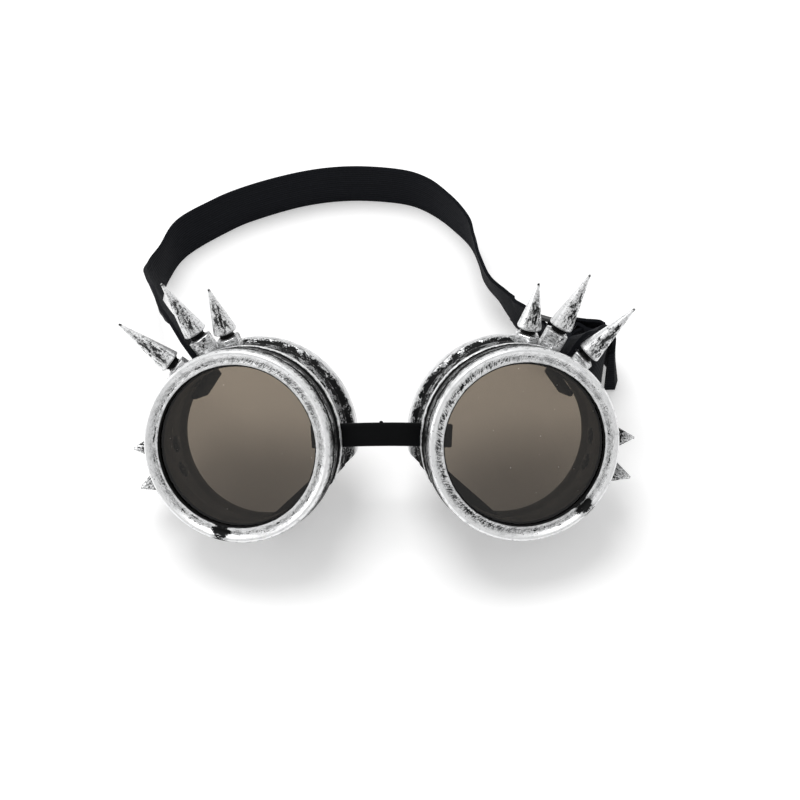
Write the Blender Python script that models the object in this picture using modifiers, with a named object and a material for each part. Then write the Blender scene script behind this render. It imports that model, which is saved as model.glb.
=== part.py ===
"""Round spiked goggles: two screw-ring eye cups, a rubber nose bridge and an adjustable head strap.

Metres, +Z up. The goggles rest on their rear rims, lenses up and towards -Y, strap on edge behind.
"""

from math import cos, degrees, pi, radians, sin, tan

import bmesh
import bpy
from mathutils import Matrix, Vector

MM = 0.001
FIT = 0.3
STEPS = 40
CONE_STEPS = 18
SCREW_STEPS = 8

# How the two cups sit.
CUP_HALF_SPACING = 42.4
LENS_ELEVATION = 49.0
SPLAY = 10.2

# Lens and the ring that screws over it. Depths run back from the front face of the lens.
RING_R = 29.0
RING_FRONT = 2.0
LENS_R = RING_R - 4.0
LENS_THICK = 2.0
OPENING_R = LENS_R - 1.0
LAND_R = LENS_R + 1.0
BORE_R = LAND_R - 2.4

# Eye cup: the shoulder, the flare and the rim keep their distances from the rear edge.
WALL = 2.0
CUP_FRONT = LENS_THICK + FIT
CUP_DEPTH = 28.0
SHOULDER_R = RING_R + 0.2
SHOULDER_DEPTH = CUP_DEPTH - 18.0
RING_DEPTH = SHOULDER_DEPTH - 3.0
FLARE_START = SHOULDER_DEPTH + 2.2
FLARE_START_R = LAND_R + 0.6
FLARE_END = FLARE_START + 7.6
FLARE_LEAN = 18.2
RIM_R = RING_R + 1.7
NOSE_ANGLE = -36.0
NOSE_CUT = RIM_R - 7.0
NOSE_CUT_LEAN = 9.2
NOSE_WALL = 3.0
FLANGE_R = BORE_R + 1.6
FLANGE = 1.8

# Spikes: distance round the flare from the middle one, height of the hexagon under it, length of
# the cone, and how far it leans from square on the left and on the right cup. The small ones give
# their radius and height. The holes of both cups are turned a little the same way.
SPIKE_FOOT_DEPTH = FLARE_START + 4.0
SPIKE_FOOT_R = FLARE_START_R + (SPIKE_FOOT_DEPTH - FLARE_START) * tan(radians(FLARE_LEAN))
MIDDLE_ANGLE = 126.2
LONG_SPIKES = (
    ("outer", 9.79, 5.2, 19.6, (2.5, 0.0)),
    ("middle", 0.0, 7.4, 18.4, (2.5, -2.5)),
    ("inner", -6.87, 4.4, 14.4, (2.5, 0.8)),
)
SMALL_SPIKES = (("upper", 33.52, 3.9, 6.2), ("lower", 42.53, 4.6, 7.4))
SPIKE_TURN = 1.8
HEX_FLATS = 6.6
NECK = 1.5
NECK_R = 2.1
NECK_TOP_R = 2.7
CONE_R = 3.7
TIP_R = 0.35
SMALL_HEX = 4.2
SCREW_R = 1.5
HEAD_R = 2.6
HEAD = 1.5
SCREW_GRIP = 3.0

# Nose bridge.
BRIDGE_WIDE = 7.1
BRIDGE_THICK = 1.8
BRIDGE_DEPTH = FLARE_START + 3.3
BRIDGE_ANGLE = 14.8
BRIDGE_END_R = BORE_R - 2.0
BRIDGE_HEAD = 3.4
BRIDGE_TAIL = 4.4

# Head strap, and the slot that it goes through.
STRAP_WIDE = 17.5
STRAP_THICK = 1.1
STRAP_GATHERED = 12.4
SLOT_ALONG = 4.92
SLOT_DEPTH = FLARE_END - 0.9
SLOT_LONG = 13.0
SLOT_WIDE = 2.2
HEM = 9.4
HEM_SHIFT = 2.6
HEM_THICK = 2.4
HEM_R = BORE_R - 2.0
LOOP_GROW = RING_R - 29.0

# Three-bar slider: its bars stand across the strap.
BAR = 2.4
BAR_PITCH = 6.5
SLIDER_THICK = 1.6
SLIDER_RAIL = 1.6
SLIDER_AT = Vector((56.0 + LOOP_GROW, 62.8, 10.9))
SLIDER_RUN = Vector((0.93, -0.37, 0.03)).normalized()
SLIDER_UP = Vector((0.08, -0.24, 0.96))

SILVER = (0.46, 0.46, 0.47, 1)
BLACK = (0.012, 0.013, 0.016, 1)
STRAP_BLACK = (0.020, 0.023, 0.030, 1)
LENS_BROWN = (0.14, 0.11, 0.085, 1)


def clear_scene():
    for obj in list(bpy.data.objects):
        bpy.data.objects.remove(obj, do_unlink=True)


def make_collection(name, hidden=False):
    made = bpy.data.collections.new(name)
    made.hide_render = hidden
    bpy.context.scene.collection.children.link(made)
    return made


def material(name, colour, metallic, roughness, alpha=1.0):
    made = bpy.data.materials.new(name)
    made.use_nodes = True
    shader = made.node_tree.nodes["Principled BSDF"]
    shader.inputs["Base Color"].default_value = colour
    shader.inputs["Metallic"].default_value = metallic
    shader.inputs["Roughness"].default_value = roughness
    shader.inputs["Alpha"].default_value = alpha
    made.diffuse_color = (*colour[:3], alpha)
    return made


def add_object(name, mesh, frame, look=None):
    """A node when it has a look (colour, metallic, roughness), and otherwise a cutter."""
    obj = bpy.data.objects.new(name, mesh)
    obj.matrix_world = frame
    if look:
        parts.objects.link(obj)
        mesh.materials.append(material(name, *look))
    else:
        cutters.objects.link(obj)
        obj.hide_render = True
        obj.display_type = "WIRE"
    return obj


def cup_frame(side):
    """Origin at the middle of the lens's front face, Z out along the lens axis, Y up the face."""
    splay, lift = radians(SPLAY), radians(LENS_ELEVATION)
    out = Vector((side * sin(splay), -cos(splay) * cos(lift), cos(splay) * sin(lift)))
    up = (Vector((0, 0, 1)) - out * out.z).normalized()
    across = up.cross(out)
    reach = max(d * out.z + r * (1 - out.z**2) ** 0.5 for r, d in rim_profile())
    middle = Vector((side * CUP_HALF_SPACING, 0, reach)) * MM
    turn = Matrix((across, up, out)).transposed().to_4x4()
    return Matrix.Translation(middle) @ turn


def at_angle(side, angle):
    """The angle as given for the left cup, mirrored for the right one."""
    return radians(angle if side < 0 else 180 - angle)


def turned(name, profile, frame, look=None, steps=STEPS, closed=True):
    """Turns (radius, height) points in mm about Z. They run down the outer side first."""
    mesh = bpy.data.meshes.new(name)
    points = [(r * MM, 0, z * MM) for r, z in profile]
    edges = [(i, i + 1) for i in range(len(points) - 1)]
    if closed:
        edges.append((len(points) - 1, 0))
    mesh.from_pydata(points, edges, [])
    obj = add_object(name, mesh, frame, look)
    screw = obj.modifiers.new("Turn", "SCREW")
    screw.axis = "Z"
    screw.angle = 2 * pi
    screw.steps = screw.render_steps = steps
    screw.use_merge_vertices = True
    screw.merge_threshold = 0.00001
    screw.use_smooth_shade = False
    return obj


def box(name, size, centre, frame, turn=None):
    """A cutter: a box of the given size and centre in mm, turned in the frame."""
    mesh = bpy.data.meshes.new(name)
    bm = bmesh.new()
    bmesh.ops.create_cube(bm, size=1)
    bmesh.ops.scale(bm, vec=Vector(size) * MM, verts=bm.verts)
    bmesh.ops.translate(bm, vec=Vector(centre) * MM, verts=bm.verts)
    bm.to_mesh(mesh)
    bm.free()
    return add_object(name, mesh, frame @ (turn or Matrix()))


def boolean(obj, other, operation="DIFFERENCE"):
    cut = obj.modifiers.new(other.name, "BOOLEAN")
    cut.operation = operation
    cut.object = other
    cut.solver = "EXACT"


def bevel(obj, width, segments=1, angle=40):
    edge = obj.modifiers.new("Bevel", "BEVEL")
    edge.width = width * MM
    edge.segments = segments
    edge.limit_method = "ANGLE"
    edge.angle_limit = radians(angle)


def rim_profile():
    """(radius, depth) down the outside of the rear rim."""
    return (
        (RIM_R - 0.5, CUP_DEPTH - 5.0),
        (RIM_R, CUP_DEPTH - 3.8),
        (RIM_R, CUP_DEPTH - 1.6),
        (RIM_R - 0.5, CUP_DEPTH - 0.5),
        (RIM_R - 1.3, CUP_DEPTH),
    )


def round_flare(along):
    """The angle of a place that is so many mm round the flare from the middle spike."""
    return MIDDLE_ANGLE + degrees(along / SPIKE_FOOT_R)


def spike_frame(side, frame, along, leans=(0.0, 0.0)):
    """Origin on the outside of the flare, Z out along the spike, X forwards."""
    turn = at_angle(side, round_flare(along)) + radians(SPIKE_TURN)
    out = Vector((cos(turn), sin(turn), 0)) * cos(radians(FLARE_LEAN))
    out.z = sin(radians(FLARE_LEAN))
    foot = Vector((cos(turn) * SPIKE_FOOT_R, sin(turn) * SPIKE_FOOT_R, -SPIKE_FOOT_DEPTH)) * MM
    forward = (Vector((0, 0, 1)) - out * out.z).normalized()
    axes = Matrix((forward, out.cross(forward), out)).transposed().to_4x4()
    lean = Matrix.Rotation(radians(leans[0] if side < 0 else leans[1]), 4, "X")
    return frame @ Matrix.Translation(foot) @ axes @ lean


def nose_block(name, side, frame, inwards):
    """The cutter for the sloping flat that clears the nose."""
    turn = Matrix.Rotation(at_angle(side, NOSE_ANGLE), 4, "Z")
    lean = Matrix.Rotation(radians(NOSE_CUT_LEAN), 4, "Y")
    face = Matrix.Translation(Vector((NOSE_CUT - inwards, 0, -CUP_DEPTH)) * MM)
    deep = 20
    return box(name, (deep, 80, 80), (deep / 2, 0, 20), frame, turn @ face @ lean)


def make_cup(side, hand, frame):
    tangent = tan(radians(FLARE_LEAN))
    flare_end_r = FLARE_START_R + (FLARE_END - FLARE_START) * tangent
    outside = [
        (LAND_R - 0.3, CUP_FRONT),
        (LAND_R, CUP_FRONT + 0.3),
        (LAND_R, SHOULDER_DEPTH - 0.8),
        (SHOULDER_R - 0.4, SHOULDER_DEPTH - 0.3),
        (SHOULDER_R, SHOULDER_DEPTH + 0.1),
        (SHOULDER_R, SHOULDER_DEPTH + 1.3),
        (SHOULDER_R - 0.4, FLARE_START - 0.5),
        (FLARE_START_R, FLARE_START),
        (flare_end_r, FLARE_END),
        (flare_end_r - 0.7, FLARE_END + 0.9),
        (flare_end_r - 0.7, FLARE_END + 2.1),
        *rim_profile(),
    ]
    profile = [(0, -CUP_FRONT)] + [(r, -d) for r, d in outside] + [(0, -CUP_DEPTH)]
    look = (SILVER, 0.85, 0.35)
    cup = turned(f"eye_cup_{hand}", profile, frame, look, closed=False)

    neck = FLARE_START - 2.8
    neck_end = FLARE_END - 0.6
    inside_r = BORE_R + (neck_end - neck) * tangent
    hollow = [
        (0, 5),
        (BORE_R, 5),
        (BORE_R, -neck),
        (inside_r, -neck_end),
        (inside_r + 0.2, -(CUP_DEPTH - FLANGE - 1.0)),
        (FLANGE_R + 0.4, -(CUP_DEPTH - FLANGE)),
        (FLANGE_R, -(CUP_DEPTH - FLANGE + 0.6)),
        (FLANGE_R, -(CUP_DEPTH - 0.5)),
        (FLANGE_R + 0.5, -CUP_DEPTH),
        (FLANGE_R + 0.5, -CUP_DEPTH - 5),
        (0, -CUP_DEPTH - 5),
    ]
    void = turned(f"cup_hollow_{hand}", hollow, frame, closed=False)
    boolean(void, nose_block(f"nose_inside_{hand}", side, frame, NOSE_WALL))
    boolean(cup, nose_block(f"nose_outside_{hand}", side, frame, 0))
    boolean(cup, void)

    turn = Matrix.Rotation(at_angle(side, BRIDGE_ANGLE), 4, "Z")
    size = (12, BRIDGE_WIDE + 2 * FIT, BRIDGE_THICK + 2 * FIT)
    boolean(cup, box(f"bridge_slot_{hand}", size, (RIM_R - 4.7, 0, -BRIDGE_DEPTH), frame, turn))
    turn = Matrix.Rotation(at_angle(side, round_flare(SLOT_ALONG)), 4, "Z")
    size = (12, SLOT_WIDE, SLOT_LONG)
    boolean(cup, box(f"strap_slot_{hand}", size, (RIM_R - 2.7, 0, -SLOT_DEPTH), frame, turn))
    for place, along, _, _, *leans in LONG_SPIKES + SMALL_SPIKES:
        seat = spike_frame(side, frame, along, *leans)
        r = SCREW_R + FIT
        hole = [(0, 2), (r, 2), (r, -WALL - 3), (0, -WALL - 3)]
        boolean(cup, turned(f"screw_hole_{place}_{hand}", hole, seat, steps=SCREW_STEPS, closed=False))


def make_ring(hand, frame):
    """The front is a lip at the lens, a shallow hollow, then the outer crest."""
    front = [
        (OPENING_R, -0.8),
        (OPENING_R + 0.4, -1.3),
        (OPENING_R + 1.0, -1.3),
        (OPENING_R + 2.0, -0.9),
        (OPENING_R + 3.0, -RING_FRONT + 0.35),
        (OPENING_R + 3.7, -RING_FRONT),
        (RING_R - 0.6, -RING_FRONT + 0.4),
        (RING_R, -0.4),
        (RING_R, 1.7),
        (RING_R - 0.4, 2.0),
        (RING_R - 0.4, 2.5),
        (RING_R, 2.8),
        (RING_R, RING_DEPTH - 0.4),
        (RING_R - 0.4, RING_DEPTH),
        (LAND_R + FIT, RING_DEPTH),
        (LAND_R + FIT, LENS_THICK + 0.2),
        (LENS_R + FIT, LENS_THICK + 0.2),
        (LENS_R + FIT, -FIT),
        (OPENING_R, -FIT),
    ]
    turned(f"lens_ring_{hand}", [(r, -d) for r, d in front], frame, (SILVER, 0.85, 0.35))


def make_lens(hand, frame):
    edge = 0.25
    profile = [
        (0, 0),
        (LENS_R - edge, 0),
        (LENS_R, -edge),
        (LENS_R, -LENS_THICK + edge),
        (LENS_R - edge, -LENS_THICK),
        (0, -LENS_THICK),
    ]
    turned(f"lens_{hand}", profile, frame, (LENS_BROWN, 0.0, 0.1, 0.75), closed=False)


def hexagon(name, flats, low, high, frame, look, top=None):
    """A six-sided block from low to high, or a pyramid when top is its small upper radius."""
    mesh = bpy.data.meshes.new(name)
    bm = bmesh.new()
    corner = flats / 2 / cos(pi / 6) * MM
    bmesh.ops.create_cone(
        bm, cap_ends=True, segments=6, depth=(high - low) * MM, radius1=corner,
        radius2=corner if top is None else top * MM,
    )
    # Corners to the front and the back, so that flats face the neighbours.
    bmesh.ops.rotate(bm, cent=(0, 0, 0), matrix=Matrix.Rotation(pi / 6, 3, "Z"), verts=bm.verts)
    turn_corner_forward(bm)
    bmesh.ops.translate(bm, vec=(0, 0, (high + low) / 2 * MM), verts=bm.verts)
    bm.to_mesh(mesh)
    bm.free()
    return add_object(name, mesh, frame, look)


def turn_corner_forward(bm):
    far = max(bm.verts, key=lambda v: v.co.x)
    if abs(far.co.y) > 0.0001:
        bmesh.ops.rotate(bm, cent=(0, 0, 0), matrix=Matrix.Rotation(pi / 6, 3, "Z"), verts=bm.verts)


def make_screw(name, seat, reach):
    """Its head is inside the cup, and its shank ends inside the spike."""
    under = -WALL - FIT - 0.1
    profile = [
        (0, reach),
        (SCREW_R - 0.3, reach),
        (SCREW_R, reach - 0.4),
        (SCREW_R, under),
        (HEAD_R, under),
        (HEAD_R, under - 0.6),
        (HEAD_R - 0.8, under - HEAD),
        (0, under - HEAD),
    ]
    turned(name, profile, seat, (BLACK, 0.2, 0.5), steps=SCREW_STEPS, closed=False)


def bore(name, seat, low, high):
    r = SCREW_R + FIT
    return turned(name, [(0, high), (r, high), (r, low), (0, low)], seat, steps=SCREW_STEPS, closed=False)


def make_long_spike(side, hand, frame, place, along, hex_high, long, leans):
    seat = spike_frame(side, frame, along, leans)
    silver = (SILVER, 0.85, 0.35)
    nut = hexagon(f"hex_spacer_{place}_{hand}", HEX_FLATS, FIT, hex_high, seat, silver)
    bevel(nut, 0.3)
    boolean(nut, bore(f"spacer_bore_{place}_{hand}", seat, -1, hex_high + 1))
    low = hex_high + FIT
    base = low + NECK
    profile = [
        (0, base + long),
        (TIP_R * 0.7, base + long - 0.1),
        (TIP_R, base + long - 0.4),
        (CONE_R - 0.1, base + 0.9),
        (CONE_R, base + 0.5),
        (CONE_R - 0.1, base + 0.1),
        (CONE_R - 0.4, base),
        (NECK_TOP_R, base),
        (NECK_R, low + 0.5),
        (NECK_R + 0.3, low),
        (0, low),
    ]
    cone = turned(f"cone_spike_{place}_{hand}", profile, seat, silver, steps=CONE_STEPS, closed=False)
    boolean(cone, bore(f"spike_bore_{place}_{hand}", seat, low - 1, base + SCREW_GRIP + 0.6))
    make_screw(f"spike_screw_{place}_{hand}", seat, base + SCREW_GRIP)


def make_small_spike(side, hand, frame, place, along, radius, high):
    seat = spike_frame(side, frame, along)
    silver = (SILVER, 0.85, 0.35)
    nut = hexagon(f"stud_spacer_{place}_{hand}", HEX_FLATS - 0.8, FIT, SMALL_HEX, seat, silver)
    bevel(nut, 0.25)
    boolean(nut, bore(f"stud_spacer_bore_{place}_{hand}", seat, -1, SMALL_HEX + 1))
    low = SMALL_HEX + FIT
    flats = 2 * radius * cos(pi / 6)
    stud = hexagon(f"pyramid_stud_{place}_{hand}", flats, low, low + high, seat, silver, TIP_R)
    bevel(stud, 0.12, angle=20)
    boolean(stud, bore(f"stud_bore_{place}_{hand}", seat, low - 1, low + 1.9))
    make_screw(f"stud_screw_{place}_{hand}", seat, low + 1.5)


def swept(name, stations, look=None):
    """Lofts a ribbon through (centre, across, along-thickness, wide, thick) stations, in world mm."""
    mesh = bpy.data.meshes.new(name)
    bm = bmesh.new()
    rings = []
    for centre, across, through, wide, thick in stations:
        a, t = across * wide / 2, through * thick / 2
        soft = across * min(0.35, thick / 3)
        corners = (a - soft - t, -a + soft - t, -a, -a + soft + t, a - soft + t, a)
        rings.append([bm.verts.new((centre + c) * MM) for c in corners])
    for one, two in zip(rings, rings[1:]):
        for i in range(6):
            bm.faces.new((one[i], one[i - 1], two[i - 1], two[i]))
    bm.faces.new(rings[0])
    bm.faces.new(reversed(rings[-1]))
    bmesh.ops.recalc_face_normals(bm, faces=bm.faces)
    bm.to_mesh(mesh)
    bm.free()
    return add_object(name, mesh, Matrix(), look)


def smooth_path(knots, spacing):
    """Stations along a Catmull-Rom curve through (centre, across, wide) knots, about spacing mm apart."""
    stations = []
    padded = [knots[0], *knots, knots[-1]]
    for one, two, three, four in zip(padded, padded[1:], padded[2:], padded[3:]):
        steps = max(1, round((three[0] - two[0]).length / spacing))
        for i in range(steps):
            u = i / steps
            centre = 0.5 * (
                2 * two[0]
                + (three[0] - one[0]) * u
                + (2 * one[0] - 5 * two[0] + 4 * three[0] - four[0]) * u**2
                + (3 * two[0] - one[0] - 3 * three[0] + four[0]) * u**3
            )
            ease = u * u * (3 - 2 * u)
            across = two[1].lerp(three[1], ease)
            stations.append((centre, across, two[2] + (three[2] - two[2]) * ease))
    stations.append(knots[-1])
    return stations


def ribbon(name, knots, spacing, thick, look=None):
    path = smooth_path(knots, spacing)
    stations = []
    for i, (centre, across, wide) in enumerate(path):
        ahead = path[min(i + 1, len(path) - 1)][0] - path[max(i - 1, 0)][0]
        run = ahead.normalized()
        across = (across - run * across.dot(run)).normalized()
        stations.append((centre, across, run.cross(across), wide, thick))
    return swept(name, stations, look)


def slot_point(frame, side, radius):
    turn = at_angle(side, round_flare(SLOT_ALONG))
    local = Vector((cos(turn) * radius, sin(turn) * radius, -SLOT_DEPTH)) * MM
    return (frame @ local) / MM


def make_hem(name, side, frame):
    """The folded and sewn end of the strap inside the cup, too thick for the slot."""
    turn = Matrix.Rotation(at_angle(side, round_flare(SLOT_ALONG)), 4, "Z")
    size = (HEM_THICK, HEM, STRAP_GATHERED)
    hem = box(name, size, (HEM_R, -side * HEM_SHIFT, -SLOT_DEPTH), frame, turn)
    bevel(hem, 0.9, segments=2)
    return hem


def slider_point(run, out, up=0):
    side = SLIDER_UP - SLIDER_RUN * SLIDER_UP.dot(SLIDER_RUN)
    side.normalize()
    outward = side.cross(SLIDER_RUN).normalized()
    if outward.y < 0:
        outward = -outward
    return SLIDER_AT + SLIDER_RUN * run + outward * out + side * up


def beside(x, y, z):
    """A point of the strap's route, which keeps its distance from the cups when they grow."""
    return Vector((x + (LOOP_GROW if x > 0 else -LOOP_GROW), y, z))


def make_long_strap(frame):
    """From the left cup round the back to the slider, then a free tail."""
    out = frame.col[2].to_3d()
    up = Vector((0, 0, 1))
    rise = slider_point(0, 0, 1) - slider_point(0, 0)
    mouth = slot_point(frame, -1, RIM_R + 2.3)
    left = [
        (slot_point(frame, -1, HEM_R), out, STRAP_GATHERED),
        (slot_point(frame, -1, RIM_R - 1.2), out, STRAP_GATHERED),
        (mouth, out, STRAP_GATHERED + 0.6),
        (mouth + Vector((-6.0, 9.9, -0.8)), Vector((-0.3, -0.3, 0.88)), 15.6),
        (mouth + Vector((-13.42, 24.0, -9.9)), Vector((-0.36, 0.3, 0.87)), STRAP_WIDE),
        (beside(-77.8, 73.0, 20.5), Vector((-0.29, 0.45, 0.85)), STRAP_WIDE),
        (beside(-80.6, 84.5, 12.5), Vector((-0.1, 0.25, 0.95)), STRAP_WIDE),
        (beside(-79.0, 96.5, 9.3), up, STRAP_WIDE),
    ]
    back = [
        (beside(x, y, STRAP_WIDE / 2 + 0.16), Vector((tip_x, tip_y, 1)), STRAP_WIDE)
        for x, y, tip_x, tip_y in (
            (-74.0, 108.2, 0, 0.13), (-62.2, 117.8, 0, 0.08), (-50.3, 124.6, 0, 0.03),
            (-31.5, 131.3, 0, 0), (-14.0, 133.7, 0, 0), (4.0, 132.0, 0, 0), (14.0, 127.8, 0, 0),
            (22.4, 119.8, -0.06, 0), (29.2, 110.0, -0.12, 0), (31.7, 101.0, -0.17, 0),
        )
    ]
    lean = [
        (beside(33.3, 92.5, 9.8), Vector((-0.13, -0.2, 0.96)), STRAP_WIDE),
        (beside(36.8, 84.0, 10.0), Vector((-0.08, -0.42, 0.88)), STRAP_WIDE),
        (beside(41.8, 76.6, 9.5), Vector((0.06, -0.4, 0.9)), STRAP_WIDE),
        (beside(44.7, 72.2, 9.6), Vector((0.1, -0.3, 0.94)), STRAP_WIDE),
    ]
    weave = [
        (slider_point(run, off), rise, STRAP_WIDE)
        for run, off in (
            (-9.8, 2.6), (-7.9, 1.95), (-6.0, 1.8), (-4.6, 1.3), (-3.2, 0.0), (-1.9, -1.3),
            (-0.6, -1.75), (0.8, -1.7), (1.7, -1.2), (2.2, -0.3), (2.6, 0.8), (3.1, 1.9),
            (4.2, 2.8), (6.2, 3.2), (8.6, 3.6),
        )
    ]
    tail = [
        (beside(70.6, 62.6, 9.7), Vector((0.05, -0.1, 0.97)), STRAP_WIDE),
        (beside(75.0, 57.2, 9.2), Vector((0, 0.1, 0.98)), STRAP_WIDE),
        (beside(76.0, 49.4, 9.0), Vector((-0.14, 0.12, 0.98)), STRAP_WIDE),
    ]
    look = (STRAP_BLACK, 0.0, 0.85)
    strap = ribbon("head_strap", left + back + lean + weave + tail, 4.2, STRAP_THICK, look)
    boolean(strap, make_hem("strap_hem_left", -1, frame), "UNION")


def make_short_strap(frame):
    """Loops round the slider's end bar and runs to the right cup."""
    rise = slider_point(0, 0, 1) - slider_point(0, 0)
    out = frame.col[2].to_3d()
    loop = [
        (slider_point(run, off), rise, STRAP_WIDE)
        for run, off in (
            (7.6, -1.7), (6.4, -1.78), (5.3, -1.78), (4.6, -1.5), (4.3, -0.8), (4.3, 0.8),
            (4.6, 1.5), (5.3, 1.78), (6.4, 1.78), (8.2, 1.75), (10.4, 1.5),
        )
    ]
    lap = [
        (slider_point(run, off), rise, STRAP_WIDE - 0.6)
        for run, off in ((6.8, -1.7), (8.2, -1.3), (9.2, -0.2), (10.2, 0.9), (11.2, 1.4))
    ]
    mouth = slot_point(frame, 1, RIM_R + 3.9)
    knots = loop + [
        (beside(70.0, 56.0, 11.6), Vector((0.1, 0.15, 0.96)), STRAP_WIDE),
        (beside(72.2, 50.6, 15.4), Vector((0.3, 0.7, 0.5)), 16.8),
        (mouth + Vector((11.12, 10.66, -15.94)), Vector((0.55, 0.6, 0.45)), 15.2),
        (mouth + Vector((4.92, 6.86, -5.94)), Vector((0.6, -0.1, 0.45)), 13.4),
        (mouth, out, STRAP_GATHERED + 0.6),
        (slot_point(frame, 1, RIM_R + 1.3), out, STRAP_GATHERED),
        (slot_point(frame, 1, RIM_R - 1.2), out, STRAP_GATHERED),
        (slot_point(frame, 1, HEM_R), out, STRAP_GATHERED),
    ]
    strap = ribbon("strap_anchor", knots, 2.4, STRAP_THICK, (STRAP_BLACK, 0.0, 0.85))
    boolean(strap, ribbon("strap_lap", lap, 2.4, STRAP_THICK), "UNION")
    boolean(strap, make_hem("strap_hem_right", 1, frame), "UNION")


def make_slider():
    """A flat frame with three bars, moulded in one."""
    inside = STRAP_WIDE + 2 * FIT
    length = 2 * BAR_PITCH + BAR
    height = inside + 2 * SLIDER_RAIL
    through = slider_point(0, 1) - slider_point(0, 0)
    axes = Matrix((SLIDER_RUN, through, SLIDER_RUN.cross(through))).transposed().to_4x4()
    frame = Matrix.Translation(SLIDER_AT * MM) @ axes
    mesh = bpy.data.meshes.new("strap_slider")
    bm = bmesh.new()
    bmesh.ops.create_cube(bm, size=1)
    bmesh.ops.scale(bm, vec=Vector((length, SLIDER_THICK, height)) * MM, verts=bm.verts)
    bm.to_mesh(mesh)
    bm.free()
    slider = add_object("strap_slider", mesh, frame, (BLACK, 0.0, 0.4))
    bevel(slider, 0.45, segments=2)
    gap = BAR_PITCH - BAR
    for name, side in (("slider_slot_near", -1), ("slider_slot_far", 1)):
        place = (side * BAR_PITCH / 2, 0, 0)
        boolean(slider, box(name, (gap, SLIDER_THICK * 3, inside), place, frame))


def make_bridge(left, right):
    """A flat rubber band, bowed a little, with a thicker head and a free end inside each cup."""
    def at(frame, side, radius):
        turn = at_angle(side, BRIDGE_ANGLE)
        local = Vector((cos(turn) * radius, sin(turn) * radius, -BRIDGE_DEPTH)) * MM
        return (frame @ local) / MM

    def axes(frame, side):
        turn = at_angle(side, BRIDGE_ANGLE)
        run = frame.to_3x3() @ Vector((cos(turn), sin(turn), 0))
        return run, frame.col[2].to_3d().cross(run)

    def station(centre, run, across, wide, thick):
        across = (across - run * across.dot(run)).normalized()
        return (centre, across, run.cross(across), wide, thick)

    stations = []
    head_end = BRIDGE_END_R + 1.6
    wide, thick = BRIDGE_WIDE, BRIDGE_THICK
    run_left, up_left = axes(left, -1)
    run_right, up_right = (-v for v in axes(right, 1))
    for radius, deep in ((BRIDGE_END_R - BRIDGE_TAIL, thick), (BRIDGE_END_R, thick),
                         (BRIDGE_END_R + 0.4, BRIDGE_HEAD), (head_end - 0.3, BRIDGE_HEAD),
                         (head_end, thick), (RIM_R - 1.2, thick)):
        stations.append(station(at(left, -1, radius), run_left, up_left, wide, deep))
    start, end = at(left, -1, RIM_R - 1.2), at(right, 1, RIM_R - 1.2)
    pull = (end - start).length / 3
    a, b = start + run_left * pull, end - run_right * pull
    for i in range(1, 10):
        u = i / 10
        centre = start * (1 - u) ** 3 + 3 * a * u * (1 - u) ** 2 + 3 * b * u * u * (1 - u) + end * u**3
        run = run_left.lerp(run_right, u).normalized()
        stations.append(station(centre, run, up_left.lerp(up_right, u), wide, thick))
    for radius, deep in ((RIM_R - 1.2, thick), (head_end, thick), (head_end - 0.3, BRIDGE_HEAD),
                         (BRIDGE_END_R + 0.4, BRIDGE_HEAD), (BRIDGE_END_R, thick),
                         (BRIDGE_END_R - BRIDGE_TAIL, thick)):
        stations.append(station(at(right, 1, radius), run_right, up_right, wide, deep))
    swept("nose_bridge", stations, (BLACK, 0.0, 0.55))


def centre_on_table():
    """Puts the origin under the middle of the whole object, on what it stands on."""
    bpy.context.view_layer.update()
    graph = bpy.context.evaluated_depsgraph_get()
    points = []
    for obj in parts.objects:
        evaluated = obj.evaluated_get(graph)
        points += [evaluated.matrix_world @ v.co for v in evaluated.data.vertices]
    low = Vector(map(min, zip(*points)))
    high = Vector(map(max, zip(*points)))
    shift = Matrix.Translation(Vector((-(low.x + high.x) / 2, -(low.y + high.y) / 2, -low.z)))
    for obj in [*parts.objects, *cutters.objects]:
        obj.matrix_world = shift @ obj.matrix_world


clear_scene()
parts = make_collection("goggles")
cutters = make_collection("cutters", hidden=True)
frames = {-1: cup_frame(-1), 1: cup_frame(1)}
for side, hand in ((-1, "left"), (1, "right")):
    frame = frames[side]
    make_cup(side, hand, frame)
    make_ring(hand, frame)
    make_lens(hand, frame)
    for spike in LONG_SPIKES:
        make_long_spike(side, hand, frame, *spike)
    for spike in SMALL_SPIKES:
        make_small_spike(side, hand, frame, *spike)
make_bridge(frames[-1], frames[1])
make_long_strap(frames[-1])
make_short_strap(frames[1])
make_slider()
centre_on_table()
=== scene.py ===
from math import atan2, cos, degrees, hypot, pi, radians, sin, tan

import bmesh
import bpy
from mathutils import Matrix, Vector


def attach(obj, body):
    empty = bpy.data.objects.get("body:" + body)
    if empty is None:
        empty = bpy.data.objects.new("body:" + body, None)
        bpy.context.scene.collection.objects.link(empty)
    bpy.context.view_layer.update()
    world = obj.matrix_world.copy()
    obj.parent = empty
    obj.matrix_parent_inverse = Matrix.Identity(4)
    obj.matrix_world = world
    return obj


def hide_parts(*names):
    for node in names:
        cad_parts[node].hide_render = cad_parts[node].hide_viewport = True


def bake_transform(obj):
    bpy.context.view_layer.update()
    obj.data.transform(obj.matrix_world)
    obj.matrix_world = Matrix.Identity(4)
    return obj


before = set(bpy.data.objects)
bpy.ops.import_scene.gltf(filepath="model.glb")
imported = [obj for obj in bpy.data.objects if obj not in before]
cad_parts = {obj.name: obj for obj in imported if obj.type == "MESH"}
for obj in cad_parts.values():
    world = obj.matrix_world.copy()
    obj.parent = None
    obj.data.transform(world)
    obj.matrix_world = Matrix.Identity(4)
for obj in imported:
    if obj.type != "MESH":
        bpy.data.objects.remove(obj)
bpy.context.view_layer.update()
mm = 0.001
middle = Vector((2.318, -55.774, 0.0))  # the goggles' own middle on the table, in mm
hands = {"left": -1, "right": 1}


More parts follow.
